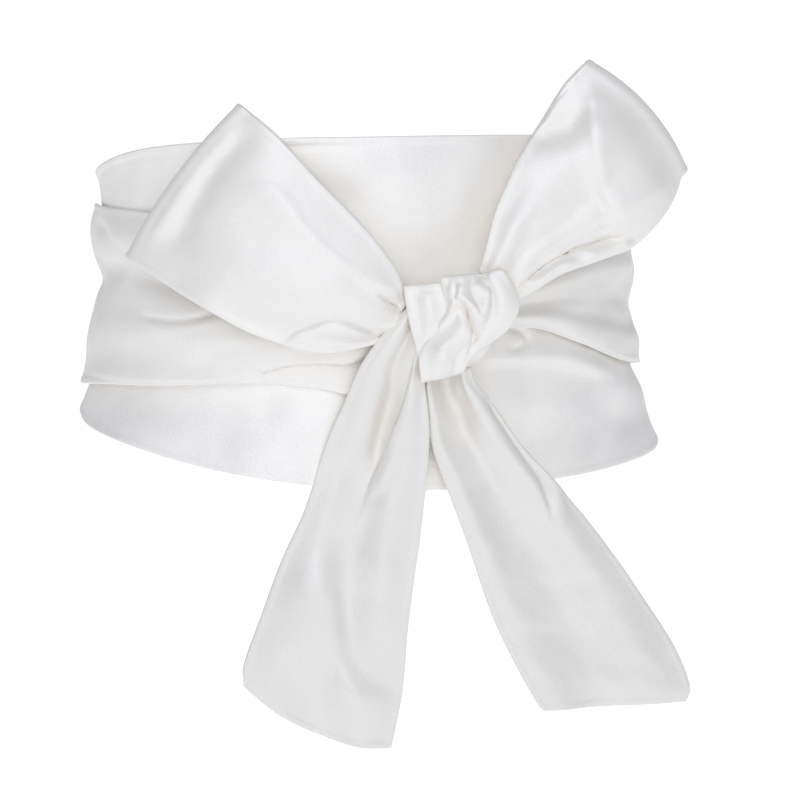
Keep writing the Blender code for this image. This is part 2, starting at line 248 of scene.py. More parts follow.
KNOT_PLY = (
    # run, left_right, left_up, left_out, right_right, right_up, right_out, crown, sag
    (0.00, 14.8, 13.5, 118.2, 34, 15.5, 119.0, 0.3, 0),
    (0.18, 15.4, 9, 119.6, 34.5, 9.5, 120.6, 1.0, 0),
    (0.45, 16.8, 1.5, 120.0, 35, 0.5, 121.0, 1.2, 0),
    (0.70, 18.8, -7.5, 119.8, 32, -8.5, 120.4, 1.0, 0),
    (0.90, 20.8, -15.5, 119.2, 28, -16, 119.6, 0.6, 0),
    (1.00, 22.3, -22, 118.0, 26.5, -21, 118.4, 0.2, 0),
)

# Folds along a cloth: its share across at the start and at the end, width at both, height at both
FOLDS_LEFT = (
    (0.18, 0.16, 0.12, 0.10, 2.8, 1.2),
    (0.42, 0.38, 0.07, 0.10, -2.6, 0.4),
    (0.72, 0.58, 0.15, 0.09, 2.0, 1.6),
    (0, 0, 0.06, 0.06, -1.7, -1.0),
)
FOLDS_RIGHT = (
    (0.24, 0.26, 0.10, 0.12, 2.6, 0.6),
    (0.50, 0.52, 0.09, 0.09, -2.3, -0.3),
    (0.80, 0.78, 0.10, 0.10, 2.2, 1.0),
    (0.97, 0.95, 0.06, 0.06, -0.6, -0.4),
)
FOLDS_LOOP_LEFT = (
    (0.30, 0.34, 0.10, 0.10, -2.2, 0),
    (0.62, 0.60, 0.10, 0.16, 1.2, 1.0),
    (0.86, 0.84, 0.07, 0.08, -1.2, -0.4),
)
FOLDS_LOOP_RIGHT = (
    (0.28, 0.30, 0.12, 0.10, 1.5, 1.2),
    (0.55, 0.55, 0.10, 0.12, -1.5, -2.0),
    (0.80, 0.80, 0.08, 0.10, 1.2, 0.8),
)
FOLDS_TAIL_LEFT = (
    (0.22, 0.22, 0.12, 0.16, 1.0, 1.8),
    (0.52, 0.52, 0.09, 0.14, -2.0, -2.2),
    (0.78, 0.80, 0.10, 0.14, 1.6, 1.6),
)
FOLDS_TAIL_RIGHT = (
    (0.12, 0.14, 0.08, 0.12, 2.0, 1.4),
    (0.45, 0.42, 0.14, 0.16, -4.0, -1.8),
    (0.80, 0.80, 0.09, 0.14, 2.4, 1.6),
)
FOLDS_KNOT = (
    (0.30, 0.40, 0.12, 0.14, 1.4, 1.4),
    (0.62, 0.72, 0.08, 0.10, -2.4, -1.0),
)

PLY_TIE_LEFT = (
    # along, at, drop, back: the ply past the hem lies this far under it and reaches this far back
    (0, 1.3, 0, -1),
    (165, 1.12, 0, -1),
    (182, 1.02, 0.4, -1),
    (187, 0.94, 1.8, 0),
    (191, 0.86, 2.7, 1),
    (195, 0.80, 3.2, 1.6),
    (199, 0.765, 3.3, 1.8),
    (206, 0.69, 3.3, 1.8),
    (211, 0.55, 3.2, 1.6),
    (216, 0.50, 3.0, 1.2),
    (221.5, 0.48, 2.6, 1),
)

PLY_TAIL_LEFT = (
    # along, at, drop, back: the ply before the edge lies under it
    (0, 0.60, 0, -1),
    (0.12, 0.76, 0.6, -1),
    (0.18, 0.82, 2.4, 0),
    (0.22, 0.81, 3.6, 1.2),
    (0.27, 0.74, 4.0, 1.6),
    (0.34, 0.63, 3.4, 0.9),
    (0.40, 0.55, 2.2, -0.2),
    (0.46, 0.49, 1.0, -1),
    (0.54, 0.43, 0.2, -1),
    (1.00, 0.30, 0, -1),
)

# Creases: height, width on the left of the line as it runs, width on its right, then the line
CREASES_PANEL = (
    (1.6, 14, 16, (-76, -54), (-60, -59), (-42, -60), (-25, -63)),
    (-1.5, 12, 10, (-74, -42), (-58, -49), (-46, -54)),
    (-1.2, 12, 12, (-42, -45), (-36, -53), (-30, -62)),
    (1.4, 14, 18, (-24, 64), (-11, 59), (2, 60)),
    (-1.2, 10, 12, (-34, 60), (-26, 55), (-17, 47)),
    (-1.2, 12, 10, (-16, 31), (-11, 25), (-3, 21)),
    (1.2, 10, 14, (5, -38), (16, -47), (30, -49)),
    (-1.2, 12, 12, (22, -60), (37, -61), (56, -64)),
    (1.0, 10, 10, (38, -48), (50, -58), (70, -72)),
    (-1.0, 16, 16, (-66, 52), (-62, 36)),
    (1.0, 12, 12, (-48, 60), (-40, 30)),
    (1.0, 16, 18, (12, 62), (20, 40)),
    (-0.8, 14, 14, (34, 64), (30, 40)),
    (3.3, 9, 2.8, (0, -22), (5, -23), (10, -23.4), (15, -23.6), (20, -24.6), (26, -27.5), (34, -33),
     (42, -39)),
    (1.9, 9, 9, (28, -32), (38, -39), (50, -47), (62, -51), (74, -52), (88, -50)),
    (-0.8, 8, 7, (34, -50), (50, -60), (66, -64)),
    (-1.7, 1.4, 1.5, (8, -9.5), (11, -10), (13.9, -12.4), (15, -15.8), (13, -19), (9, -19.4)),
    (1.2, 12, 14, (92, 40), (108, 20), (124, 12)),
    (-1.2, 12, 12, (96, -8), (112, -20), (128, -26)),
    (1.2, 12, 14, (-92, 30), (-110, 18), (-126, 10)),
    (-1.2, 12, 12, (-90, 4), (-112, -14), (-128, -20)),
)

CREASES_TIE_LEFT = (
    (-1.3, 3, 5, (-95, 36), (-86, 33), (-80, 26), (-74, 22)),
    (1.2, 5, 8, (-98, 12), (-84, 9), (-77, 10), (-66, 6), (-56, 2)),
    (-1.1, 1.3, 1.5, (-71, -2), (-68, -4), (-66, -4.4), (-62, -4.8), (-56, -3.6), (-48, 1)),
    (0.6, 1.2, 7, (-70, -5), (-66, -6.6), (-62, -7), (-56, -6), (-48, -2)),
    (0.7, 5, 1, (-95, -34), (-78, -33), (-60, -31), (-46, -28), (-38, -21)),
    (1.0, 4, 6, (-60, -14), (-44, -13), (-34, -12), (-24, -10)),
    (-1.4, 3, 5, (-98, 20), (-92, 16), (-86, 17), (-76, 18)),
    (0.9, 4, 5, (-52, -22), (-42, -20), (-32, -15)),
)

CREASES_TIE_RIGHT = (
    (1.1, 5, 1.6, (8, -4), (15, -6), (20, -9), (27, -15), (35, -21), (51, -31), (70, -35)),
    (0.6, 6, 6, (14, 1), (30, 0), (50, -4), (70, -6)),
    (-0.6, 5, 5, (20, -4), (35, -10), (52, -16), (70, -18)),
    (0.6, 6, 5, (24, 14), (40, 14), (60, 10)),
)

CREASES_LOOP_LEFT = (
    (3.0, 4.2, 5, (-104, 30), (-95, 43), (-86.5, 57.5), (-77, 72), (-63, 88)),
    (-2.2, 5, 6, (-89, 26), (-81.5, 41), (-74.5, 54), (-64, 69), (-51, 82)),
    (4.0, 19, 24, (-66, 52), (-56, 56), (-45, 55), (-37, 50), (-30, 40), (-21, 31), (-11, 23), (1, 16),
     (16, 6)),
    (1.5, 3.6, 11, (-57, 57), (-51, 56.5), (-44, 56), (-37, 50), (-30, 40), (-21, 31), (-11, 23), (1, 16),
     (14, 8)),
    (-0.7, 9, 8, (-34, 66), (-22, 52), (-12, 40), (-2, 29), (7, 20), (13, 13)),
    (1.1, 7, 7, (-50, 88), (-40, 76), (-32, 66)),
    (2.0, 14, 12, (-78, 18), (-60, 12), (-44, 8), (-30, 6)),
    (2.0, 0.9, 6, (-37, -11), (-31, -7), (-24, -4), (-19, -2), (-13, -2), (-5, -5), (4, -9)),
    (-0.9, 5, 0.9, (-34, -6), (-24, -2), (-16, 0), (-6, -3), (4, -7)),
    (-1.6, 5, 5, (-66, 5), (-48, -3), (-32, -8)),
    (-1.4, 1.6, 1.6, (2, 12), (7, 8), (13, 3)),
)

CREASES_LOOP_RIGHT = (
    (6.0, 27, 7, (100, 97), (101, 92), (101, 84), (101.5, 76), (102, 68), (105, 52)),
    (-1.4, 4, 6, (70, 76), (82, 81), (92, 86), (104, 90)),
    (2.2, 9, 9, (68, 60), (78, 66), (88, 68), (96, 62)),
    (2.6, 8, 8, (92, 40), (102, 44), (113, 47), (124, 53), (131, 60)),
    (-1.8, 1.2, 1.4, (87, 105), (91, 105.4), (94, 103.5)),
    (-1.0, 1.2, 3, (92.4, 103), (86.7, 97.6), (81, 91), (75, 81)),
    (-2.6, 0.9, 2.0, (117, 33), (112, 32), (106, 31), (100, 29), (93, 28), (86, 24), (79, 20), (72, 16),
     (65, 12)),
    (2.4, 1.6, 1.8, (117, 31), (110, 28.5), (103, 26.5), (95, 24.5)),
    (2.4, 1.6, 1.8, (92, 23.5), (84, 20.5), (77, 16), (70, 11)),
    (-2.4, 6, 3, (112, 38), (100, 35), (88, 31), (78, 25), (68, 18)),
    (-1.2, 3, 4, (62, 22), (68, 32), (74, 42)),
    (0.8, 4, 5, (60, 28), (65, 42), (73, 56)),
)

CREASES_TAIL_LEFT = (
    (1.4, 2.5, 5, (24, -25), (20, -34), (16, -45), (11, -56), (8, -67), (4, -77), (-3, -84)),
    (-2.0, 6, 4, (11, -32), (8, -42), (5, -54), (2, -66)),
    (-1.7, 7, 7, (-2, -64), (-7, -74), (-10, -84), (-12, -96), (-13, -112)),
    (4.2, 9, 12, (-25, -110), (-21, -130), (-17, -148), (-14, -162), (-9, -174), (-3, -182)),
    (-1.4, 9, 6, (-13, -116), (-10, -136), (-6, -154), (0, -165), (8, -168), (16, -167)),
    (-0.8, 5, 7, (-26, -74), (-14, -70), (-4, -69)),
    (0.6, 8, 10, (-38, -118), (-34, -138), (-28, -156)),
    (1.6, 6, 8, (8, -78), (6, -100), (4, -124)),
    (1.4, 5, 7, (-14, -40), (-20, -58), (-26, -78)),
)

CREASES_TAIL_RIGHT = (
    (-3.0, 8, 6, (33, -27), (36, -38), (38, -48), (34, -58)),
    (1.0, 2, 2.6, (36, -33), (38, -37), (39, -40)),
    (1.8, 5, 6, (45, -24), (47, -35), (51, -48), (56, -62)),
    (-2.2, 3.4, 1.6, (50, -37), (54, -43), (59, -50), (65, -59), (71, -68), (77, -77), (81, -88),
     (83, -98)),
    (1.6, 2.4, 4, (53, -36), (57, -42), (62, -49), (68, -58), (74, -67), (80, -76), (85, -85), (88, -97)),
    (-2.0, 7, 8, (51, -70), (54, -84), (59, -98), (66, -112)),
    (-0.6, 4, 6, (76, -126), (90, -125), (108, -124)),
    (-0.5, 4, 6, (62, -146), (77, -148), (94, -150)),
    (0.9, 6, 8, (98, -166), (112, -172), (122, -170)),
)

CREASES_KNOT = (
    (1.9, 1.3, 1.4, (36, 16), (36.7, 8), (36.7, 4), (35, 0), (30, -6)),
    (1.7, 1.2, 1.2, (36.7, 3), (38.3, 6.5), (39.8, 10), (40.5, 15)),
    (1.7, 1.2, 1.4, (39.6, 11), (42.4, 8), (45, 5.6), (46.8, 2.5), (49, -2)),
    (1.7, 1.3, 1.3, (48.6, -2), (49.9, 2.5), (50.8, 6), (52, 14)),
    (-3.4, 1.6, 1.4, (39.5, 8), (43.3, 0), (46.4, -7.2), (45.5, -12.5), (43, -18)),
    (-1.4, 2, 2, (53, 22), (48.5, 18), (43, 15)),
    (-1.6, 2.4, 2.4, (44, 14), (46, 10), (47.5, 6)),
    (1.4, 4, 5, (60, 14), (61, 4), (55, -6)),
    (1.2, 3, 3, (30, -12), (34, -20), (36, -26)),
)

CREASES_PLY = (
    (0.9, 2.5, 3, (25, 12), (27, 2), (27, -8)),
    (-0.8, 2, 2, (20, 10), (22, 0), (23, -10)),
)

CORE_RIGHT, CORE_OUT, CORE_UP = 42.0, 108.3, -3.0
CORE_HALF_WIDTH, CORE_HALF_DEPTH, CORE_HALF_HEIGHT = 14.0, 11.8, 20.3
CORE_RINGS, CORE_SIDES = 60, 90
CORE_PLEATS, CORE_PLEAT_DEPTH, CORE_TWIST = 7, 0.035, 2

CAMERA_AT = (12.24, -5.45, -53.6)
CAMERA_TURN, CAMERA_RISE, CAMERA_DISTANCE = -24.0, 8.0, 1600.0
CAMERA_LENS, CAMERA_SENSOR = 150.5, 36.0
CAMERA_NEAR, CAMERA_FAR = 0.05, 300.0

# In metres and watts
WORLD_COLOUR, WORLD_STRENGTH = (0.965, 0.97, 1.0), 0.49
FLOOR_UP, FLOOR_HALF_WIDTH = -700.0 * MM, 90.0
FLOOR_COLOUR, FLOOR_ROUGHNESS, FLOOR_GLOW = (0.9, 0.9, 0.9), 0.9, 0.64
LIGHT_COLOUR = (0.96, 0.97, 1.0)
LIGHTS = (
    # name, at, aim, size, power
    ("key", (-1.7, -1.6, 1.5), (0, -0.05, -0.03), (1.4, 1.4), 6),
    ("front", (-1.05, -2.4, 0.7), (0, -0.05, -0.05), (2.0, 1.8), 22),
    ("top", (-0.5, -1.7, 2.0), (0, -0.05, 0), (1.6, 1.6), 15),
    ("right", (0.9, -2.3, 1.1), (0, -0.05, -0.05), (1.6, 1.6), 5),
)

# One white satin in four copies: the ties, the bow and most of all the tails get darker colours than the
# panel as painted shade
# Satin: name, colour, roughness, how far its clouds darken it as painted shade, colour of its hollows as
# painted warm bounce light
SATINS = (
    ("panel_satin", (0.675, 0.671, 0.671), 0.38, 0.74, (1.0, 0.965, 0.90)),
    ("tie_satin", (0.640, 0.635, 0.630), 0.40, 0.84, (0.80, 0.76, 0.69)),
    ("tail_satin", (0.530, 0.526, 0.521), 0.30, 0.92, (0.74, 0.69, 0.60)),
    ("bow_satin", (0.590, 0.585, 0.579), 0.34, 0.90, (0.78, 0.73, 0.64)),
)
SHEEN = {
    "IOR": 1.75,
    "Specular IOR Level": 0.75,
    "Sheen Weight": 0.2,
    "Sheen Roughness": 0.4,
    "Anisotropic": 0.45,
}
WEAVE_STRETCH = (0.36, 1.0, 1.0)
THREADS_SCALE, THREADS_DETAIL = 260.0, 2.0
SLUBS_SCALE, SLUBS_DETAIL, SLUBS_SHARE = 46.0, 3.0, 0.45
# Noise of large clouds and of the threads darkens the colour at random: painted shade of soft swells and
# painted sparkle
CLOUD_SHADE_SCALE, CLOUD_SHADE_DETAIL = 3.4, 2.0
SPARKLE_SHARE, PAINTED_SHADE_CENTRE = 1.5, 0.85
BUMP_STRENGTH, BUMP_DEPTH = 0.55, 0.00025
# Painted warm bounce light: where ambient occlusion finds cloth within this reach, the colour turns to a
# lighter, warmer cream
PAINTED_BOUNCE_SAMPLES, PAINTED_BOUNCE_REACH = 6, 0.05


def read(table, at):
    """The table's rows at values of its first column, as smooth curves through the rows."""
    rows = np.array(table, float)
    at = np.atleast_1d(np.asarray(at, float))
    last = len(rows) - 2
    i = np.clip(np.searchsorted(rows[:, 0], at, side="right") - 1, 0, last)
    low, high = rows[i], rows[i + 1]
    before, after = rows[np.maximum(0, i - 1)], rows[np.minimum(len(rows) - 1, i + 2)]
    span = (high[:, 0] - low[:, 0])[:, None]
    t = (at[:, None] - low[:, :1]) / span
    p, q = low[:, 1:], high[:, 1:]
    leave = span * (q - before[:, 1:]) / (high[:, :1] - before[:, :1])
    arrive = span * (after[:, 1:] - p) / (after[:, :1] - low[:, :1])
    value = p * (2 * t**3 - 3 * t**2 + 1) + q * (3 * t**2 - 2 * t**3)
    return value + leave * (t**3 - 2 * t**2 + t) + arrive * (t**3 - t**2)


def smooth(t):
    """0 to 1 with level ends."""
    t = np.clip(t, 0, 1)
    return t * t * (3 - 2 * t)


def across_steps(width, step):
    """Shares across a cloth of about this width, close together at its two hems."""
    edge = np.array(HEM_STEPS)
    count = max(FEWEST_INNER, int((width - 2 * INNER_FROM) / step))
    inner = np.linspace(INNER_FROM, width - INNER_FROM, count)
    return np.concatenate([edge, inner, width - edge[::-1]]) / width


def along_steps(length, step, first, last):
    """Values from first to last along a cloth of about this length, close together at its two ends."""
    return first + (last - first) * across_steps(length, step)


def fold_height(folds, at, along):
    """How far the folds lift the cloth at places across it (columns), part way along (rows)."""
    height = np.zeros(np.broadcast(at, along).shape)
    for at_root, at_end, width_root, width_end, height_root, height_end in folds:
        middle = at_root + (at_end - at_root) * along
        width = width_root + (width_end - width_root) * along
        lift = height_root + (height_end - height_root) * along
        height += lift * np.exp(-(((at - middle) / width) ** 2))
    return height


def plied(q, rows, widths, first_on_top, most):
    """Lays one part of the cloth over the other, with an S-shaped fold across it.

    Gives each place's share of the width and how far it drops, for rows of at, drop and back.
    """
    at, drop, back = [rows[:, i][:, None] for i in range(3)]
    w = np.minimum(most, PLY_SHARE * widths)[:, None] / widths[:, None]
    h = PLY_SPAN * w
    t = (q[None, :] - at) / h
    start = -w * np.clip(back, -1, 3)
    inside = at + start * t + (w - start) * t**3
    before = q[None, :] * (at - w) / np.maximum(at - h, 1e-6)
    after = 1 - (1 - q[None, :]) * (1 - at - w) / np.where(abs(1 - at - h) < 1e-6, 1e-6, 1 - at - h)
    share = np.where(t < -1, before, np.where(t > 1, after, inside))
    share = np.where((at + h > PLY_INSIDE[1]) | (at - h < PLY_INSIDE[0]), q[None, :], share)
    side = t if first_on_top else -t
    under = smooth((side + PLY_EDGE) / (2 * PLY_EDGE))
    far = np.abs(share - at) * widths[:, None] / PLY_FAR
    return share, drop * under * (PLY_KEPT + (1 - PLY_KEPT) * np.exp(-(far**2)))


def waist_points(turn, up, lift):
    """Points on the worn panel's surface, or lifted off it. turn has one value a row."""
    turn = (turn + 180.0) % 360.0 - 180.0
    top, bottom, out_top, out_middle, out_bottom = [c[:, None] for c in read(PANEL, turn).T]
    s = np.clip((top - up) / (top - bottom), -PANEL_REACH, 1 + PANEL_REACH)
    bend = 2 * (out_top + out_bottom - 2 * out_middle)
    out = out_top + s * (out_bottom - out_top - bend * (1 - s)) + lift
    angle = np.radians(turn)[:, None]
    across, depth = np.sin(angle), -np.cos(angle)
    nx, ny = across / WAIST_HALF_WIDTH, depth / WAIST_HALF_DEPTH
    size = np.hypot(nx, ny)
    x = WAIST_HALF_WIDTH * across + out * nx / size
    y = WAIST_HALF_DEPTH * depth + out * ny / size
    return np.stack([x, y, np.broadcast_to(up, x.shape)], axis=2)


def bow_points(right, out, up):
    """Points given in the bow's own view."""
    x = right * math.cos(BOW_TURN) + out * math.sin(BOW_TURN)
    y = right * math.sin(BOW_TURN) - out * math.cos(BOW_TURN)
    return np.stack(np.broadcast_arrays(x, y, up), axis=2)


def arc_length(turn):
    """How far round the waist a turn is from the front, in mm."""
    quarter_degrees = 4 * 720 + 1
    fine = np.radians(np.linspace(-360, 360, quarter_degrees))
    step = np.hypot(WAIST_HALF_WIDTH * np.cos(fine), WAIST_HALF_DEPTH * np.sin(fine))
    length = np.concatenate([[0], np.cumsum((step[1:] + step[:-1]) / 2 * np.diff(fine))])
    return np.interp(turn, np.degrees(fine), length - length[len(length) // 2])


def rounded_line(points, step):
    """A smooth curve through a line's points, as points this far apart."""
    p = np.array(points, float)
    run = np.concatenate([[0], np.cumsum(np.hypot(*np.diff(p, axis=0).T))])
    count = max(8, int(run[-1] / step))
    return read(np.column_stack([run, p]), np.linspace(0, run[-1], count)), run[-1] / (count - 1)


def crease_height(a, b, creases):
    """How far the creases lift places whose coordinates are a and b, in mm."""
    height = np.zeros(a.shape)
    for lift, left, right, *points in creases:
        line, step = rounded_line(points, max(CREASE_STEP_LEAST, CREASE_STEP_SHARE * min(left, right)))
        wide = CREASE_REACH * max(left, right)
        (a0, b0), (a1, b1) = line.min(axis=0) - wide, line.max(axis=0) + wide
        near = np.nonzero((a > a0) & (a < a1) & (b > b0) & (b < b1))
        if not len(near[0]):
            continue
        p = np.column_stack([a[near], b[near]])
        off = p[:, None, :] - line[None, :, :]
        far = (off**2).sum(axis=2)
        nearest = far.argmin(axis=1)
        ahead = np.gradient(line, axis=0)
        ahead = (ahead / np.linalg.norm(ahead, axis=1, keepdims=True))[nearest]
        away = off[np.arange(len(p)), nearest]
        side = ahead[:, 0] * away[:, 1] - ahead[:, 1] * away[:, 0]
        width = right + (left - right) * smooth(0.5 + side / (CREASE_BLEND * min(left, right)))
        where = np.linspace(0, 1, len(line))
        ends = smooth(where / CREASE_END) * smooth((1 - where) / CREASE_END)
        share = ends[None, :] * np.exp(-far / width[:, None] ** 2)
        crowd = np.maximum(1, CREASE_CROWD * width / step)
        height[near] += lift * ((share**4).sum(axis=1) / crowd) ** 0.25
    return height


def ripple(a, b, size, seed):
    """Small uneven swells in the cloth, from a few crossing waves."""
    rng = np.random.default_rng(seed)
    height = np.zeros(a.shape)
    for _ in range(WAVES):
        heading, phase = rng.uniform(0, math.pi), rng.uniform(0, 2 * math.pi)
        length = rng.uniform(*WAVE_SIZES) * size
        height += np.sin(2 * math.pi * (a * math.cos(heading) + b * math.sin(heading)) / length + phase)
    return height / math.sqrt(WAVES)


def with_swells(height, a, b, seed, swells):
    """The height with the cloth's small swells added."""
    for i, (lift, size, stretch) in enumerate(swells):
        height = height + lift * ripple(a, b * stretch, size, seed + i)
    return height


def creases_on_waist(creases, turned=0):
    """Crease rows on the waist with their turns, moved on by some degrees, made lengths round it."""
    return [(*row[:3], *[(arc_length(turn + turned), up) for turn, up in row[3:]]) for row in creases]


def normals_of(points):
    """Unit normals of a grid of points."""
    du, dv = np.gradient(points, axis=0), np.gradient(points, axis=1)
    normal = np.cross(du, dv)
    return normal / np.maximum(np.linalg.norm(normal, axis=2, keepdims=True), 1e-9)


def lengths(points, axis):
    """Running length in mm along a grid's rows or columns."""
    step = np.linalg.norm(np.diff(points, axis=axis), axis=2)
    total = np.cumsum(step, axis=axis)
    zero = np.zeros_like(np.take(total, [0], axis=axis))
    return np.concatenate([zero, total], axis=axis)


def wall_of(points):
    """Half the cloth's wall at each point: rounded off at the hems, and a little thicker on them."""
    v = lengths(points, 1)
    u = lengths(points, 0)
    side = np.minimum(v, v[:, -1:] - v)
    end = np.minimum(u, u[-1:] - u)
    near = np.minimum(side, end)
    round_off = np.sqrt(np.clip(1 - (1 - np.clip(near / HEM_ROUND, 0, 1)) ** 2, 0, 1))
    bead = HEM_BEAD * smooth((HEM_WIDTH + HEM_EASE_FROM - near) / HEM_EASE)
    return HALF_WALL * round_off + bead * round_off, u, v


def add_cloth(name, points, height, node, material, outward):
    """A closed thin shell on both sides of a grid of points, lifted by its creases' height."""
    normal = normals_of(points)
    probe = points.shape[0] // 4, points.shape[1] // 2
    flip = normal[probe] @ np.array(outward) < 0
    facing = -1 if flip else 1
    points = points + facing * normal * height[:, :, None]
    normal = facing * normals_of(points)
    wall, u, v = wall_of(points)
    n, m = wall.shape
    front = points + normal * wall[:, :, None]
    back = points - normal * wall[:, :, None]
    front_index = np.arange(n * m).reshape(n, m)
    back_index = np.full((n, m), -1)
    inner = np.zeros((n, m), bool)
    inner[1:-1, 1:-1] = True
    back_index[inner] = n * m + np.arange(inner.sum())
    back_index[~inner] = front_index[~inner]
    vertices = np.concatenate([front.reshape(-1, 3), back[inner]])
    quads = []
    for index, turned in ((front_index, flip), (back_index, not flip)):
        around = [index[:-1, :-1], index[1:, :-1], index[1:, 1:], index[:-1, 1:]]
        q = np.stack(around, axis=2).reshape(-1, 4)
        quads.append(q[:, ::-1] if turned else q)
    faces = np.concatenate(quads)
    mesh = bpy.data.meshes.new(name)
    mesh.from_pydata((vertices * MM).tolist(), [], faces.tolist())
    uv = mesh.uv_layers.new(name="cloth")
    flat = np.stack([u, v], axis=2)
    per_vertex = np.concatenate([flat.reshape(-1, 2), flat[inner]])
    corners = np.zeros(len(mesh.loops), int)
    mesh.loops.foreach_get("vertex_index", corners)
    uv.data.foreach_set("uv", (per_vertex[corners] * MM * UV_PER_METRE).astype(np.float32).ravel())
    mesh.materials.append(material)
    mesh.shade_smooth()
    obj = bpy.data.objects.new(name, mesh)
    bpy.context.scene.collection.objects.link(obj)
    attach(obj, "root")
    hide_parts(node)
    return obj


def build_panel(material):
    """The wide front panel, from its one end to the other round the waist."""
    turns = along_steps(PANEL_LENGTH, PANEL_STEP, -PANEL_END, PANEL_END)
    edges = read(PANEL, turns)
    q = across_steps(PANEL_HEIGHT, PANEL_STEP)
    up = edges[:, :1] + (edges[:, 1:2] - edges[:, :1]) * q
    points = waist_points(turns, up, np.zeros_like(up))
    arc = np.broadcast_to(arc_length(turns)[:, None], up.shape)
    height = crease_height(arc, up, creases_on_waist(CREASES_PANEL))
    height = with_swells(height, arc, up, 3, SWELLS_PANEL)
    below = edges[:, :1] - up
    height -= STITCH_DEPTH * np.exp(-(((below - STITCH_BELOW) / STITCH_WIDTH) ** 2))
    name, node, slot = "front_panel_satin", "front_panel", "panel_satin"
    return add_cloth(name, points, height, node, material, (-0.3, -1, 0))


def build_tie(name, side, table, folds, creases, ply, seed, material):
    """A tie from the panel's end round the back and over the panel to the knot, on its side of +1 or -1."""
    last = table[-1][0]
    at = along_steps(TIE_LENGTH, TIE_STEP, TIE_START, last)
    row = read(table, at)
    top, bottom, lift, pleat = [c[:, None] for c in row.T]
    q = across_steps(TIE_WIDTH, TIE_STEP_ACROSS)
    share, drop = q[None, :], 0.0
    if ply:
        width = row[:, 0] - row[:, 1]
        share, drop = plied(q, read(ply, at), width, True, PLY_TIE_MOST)
    along = np.maximum(0.0, (at - SIDE_AT) / (last - SIDE_AT))[:, None]
    grown = np.clip((at - SIDE_AT + FOLD_FADE) / FOLD_FADE, 0, 1)[:, None]
    out = lift + pleat * np.cos(2 * math.pi * BACK_PLEATS * share)
    out = out + grown * fold_height(folds, share, along) - drop
    up = top + (bottom - top) * share
    turn = side * (PANEL_END + at)
    points = waist_points(turn, up, out)
    arc = np.broadcast_to(arc_length(turn)[:, None], up.shape)
    height = crease_height(arc, up, creases_on_waist(creases, 360 * side))
    height = with_swells(height, arc, up, seed, SWELLS_TIE)
    outward = points[points.shape[0] // 4, points.shape[1] // 2] * np.array((1, 1, 0))
    node = name.removesuffix("_satin")
    return add_cloth(name, points, height, node, material, outward)


def across_strip(row, folds, run, share):
    """Right, out and up across each row of a strip of the bow."""
    r0, z0, o0, r1, z1, o1, crown = [c[:, None] for c in row[:, :7].T]
    bulge = 4 * share * (1 - share)
    out = o0 + (o1 - o0) * share + crown * bulge + fold_height(folds, share, run[:, None])
    return r0 + (r1 - r0) * share, out, z0 + (z1 - z0) * share


def loop_heading(table):
    """The way that a loop points, square to the fold at its end, as right and up."""
    r0, z0, _, r1, z1 = table[-1][1:6]
    size = math.hypot(r1 - r0, z1 - z0)
    heading = ((z1 - z0) / size, (r0 - r1) / size)
    if heading[0] * (r0 - table[0][1]) + heading[1] * (z0 - table[0][2]) < 0:
        heading = (-heading[0], -heading[1])
    return heading


def build_loop(name, table, folds, bow, creases, fade, seed, length, material):
    """A loop of the bow: front ply, fold and back ply. Its creases end this share before the fold."""
    ahead = loop_heading(table)
    run = across_steps(length, LOOP_STEP)
    q = across_steps(LOOP_WIDTH, LOOP_STEP)
    row = read(table, run)
    r, o, z = across_strip(row, folds, run, q[None, :])
    reach = bow * (run**2)[:, None] * 4 * q * (1 - q)
    r, z = r + ahead[0] * reach, z + ahead[1] * reach
    lift = with_swells(crease_height(r, z, creases), r, z, seed, SWELLS_LOOP)
    lift = lift * smooth((1 - run) / fade)[:, None]
    back_swell = LOOP_BACK_SWELL * ripple(r, z, LOOP_BACK_SWELL_SIZE, seed + 2)
    back_o = o - row[:, 7:8] - back_swell * smooth((1 - run) / LOOP_BACK_FADE)[:, None]
    angle = np.linspace(0, math.pi, LOOP_BEND_POINTS)[1:-1]
    radius = (o[-1] - back_o[-1]) / 2
    swing = radius * np.sin(angle)[:, None]
    bend_r = r[-1] + ahead[0] * swing
    bend_z = z[-1] + ahead[1] * swing
    forward = (r[-1] - r[-LOOP_AIM]) * ahead[0] + (z[-1] - z[-LOOP_AIM]) * ahead[1]
    slope = np.clip((o[-1] - o[-LOOP_AIM]) / np.maximum(forward, 0.1), -STEEPEST_AIM, STEEPEST_AIM)
    bend_o = back_o[-1] + radius * (1 + np.cos(angle)[:, None]) + slope * swing
    front, back = slice(None, -LOOP_OVERLAP), slice(LOOP_OVERLAP, None)
    all_r = np.concatenate([r[front], bend_r, r[::-1][back]])
    all_z = np.concatenate([z[front], bend_z, z[::-1][back]])
    all_o = np.concatenate([o[front], bend_o, back_o[::-1][back]])
    height = np.zeros(all_r.shape)
    height[: len(run) - LOOP_OVERLAP] = lift[front]
    points = bow_points(all_r, all_o, all_z)
    node = name.removesuffix("_satin")
    return add_cloth(name, points, height, node, material, BOW_OUTWARD)


def build_strip(name, table, folds, creases, ply, seed, size, step, material, node=None):
    """A single stretch of the bow's cloth: a tail, the band over the knot or the ply beside it."""
    length, wide = size
    run = across_steps(length, step)
    q = across_steps(wide, step)
    row = read(table, run)
    share, drop = np.broadcast_to(q[None, :], (len(run), len(q))), 0.0
    if ply:
        widths = np.hypot(row[:, 3] - row[:, 0], row[:, 4] - row[:, 1])
        share, drop = plied(q, read(ply, run), widths, False, PLY_TAIL_MOST)
    r, o, z = across_strip(row, folds, run, share)
    o = o - drop
    z = z - row[:, 7:8] * 4 * share * (1 - share)
    height = with_swells(crease_height(r, z, creases), r, z, seed, SWELLS_STRIP)
    points = bow_points(r, o, z)
    node = node or name.removesuffix("_satin")
    return add_cloth(name, points, height, node, material, BOW_OUTWARD)


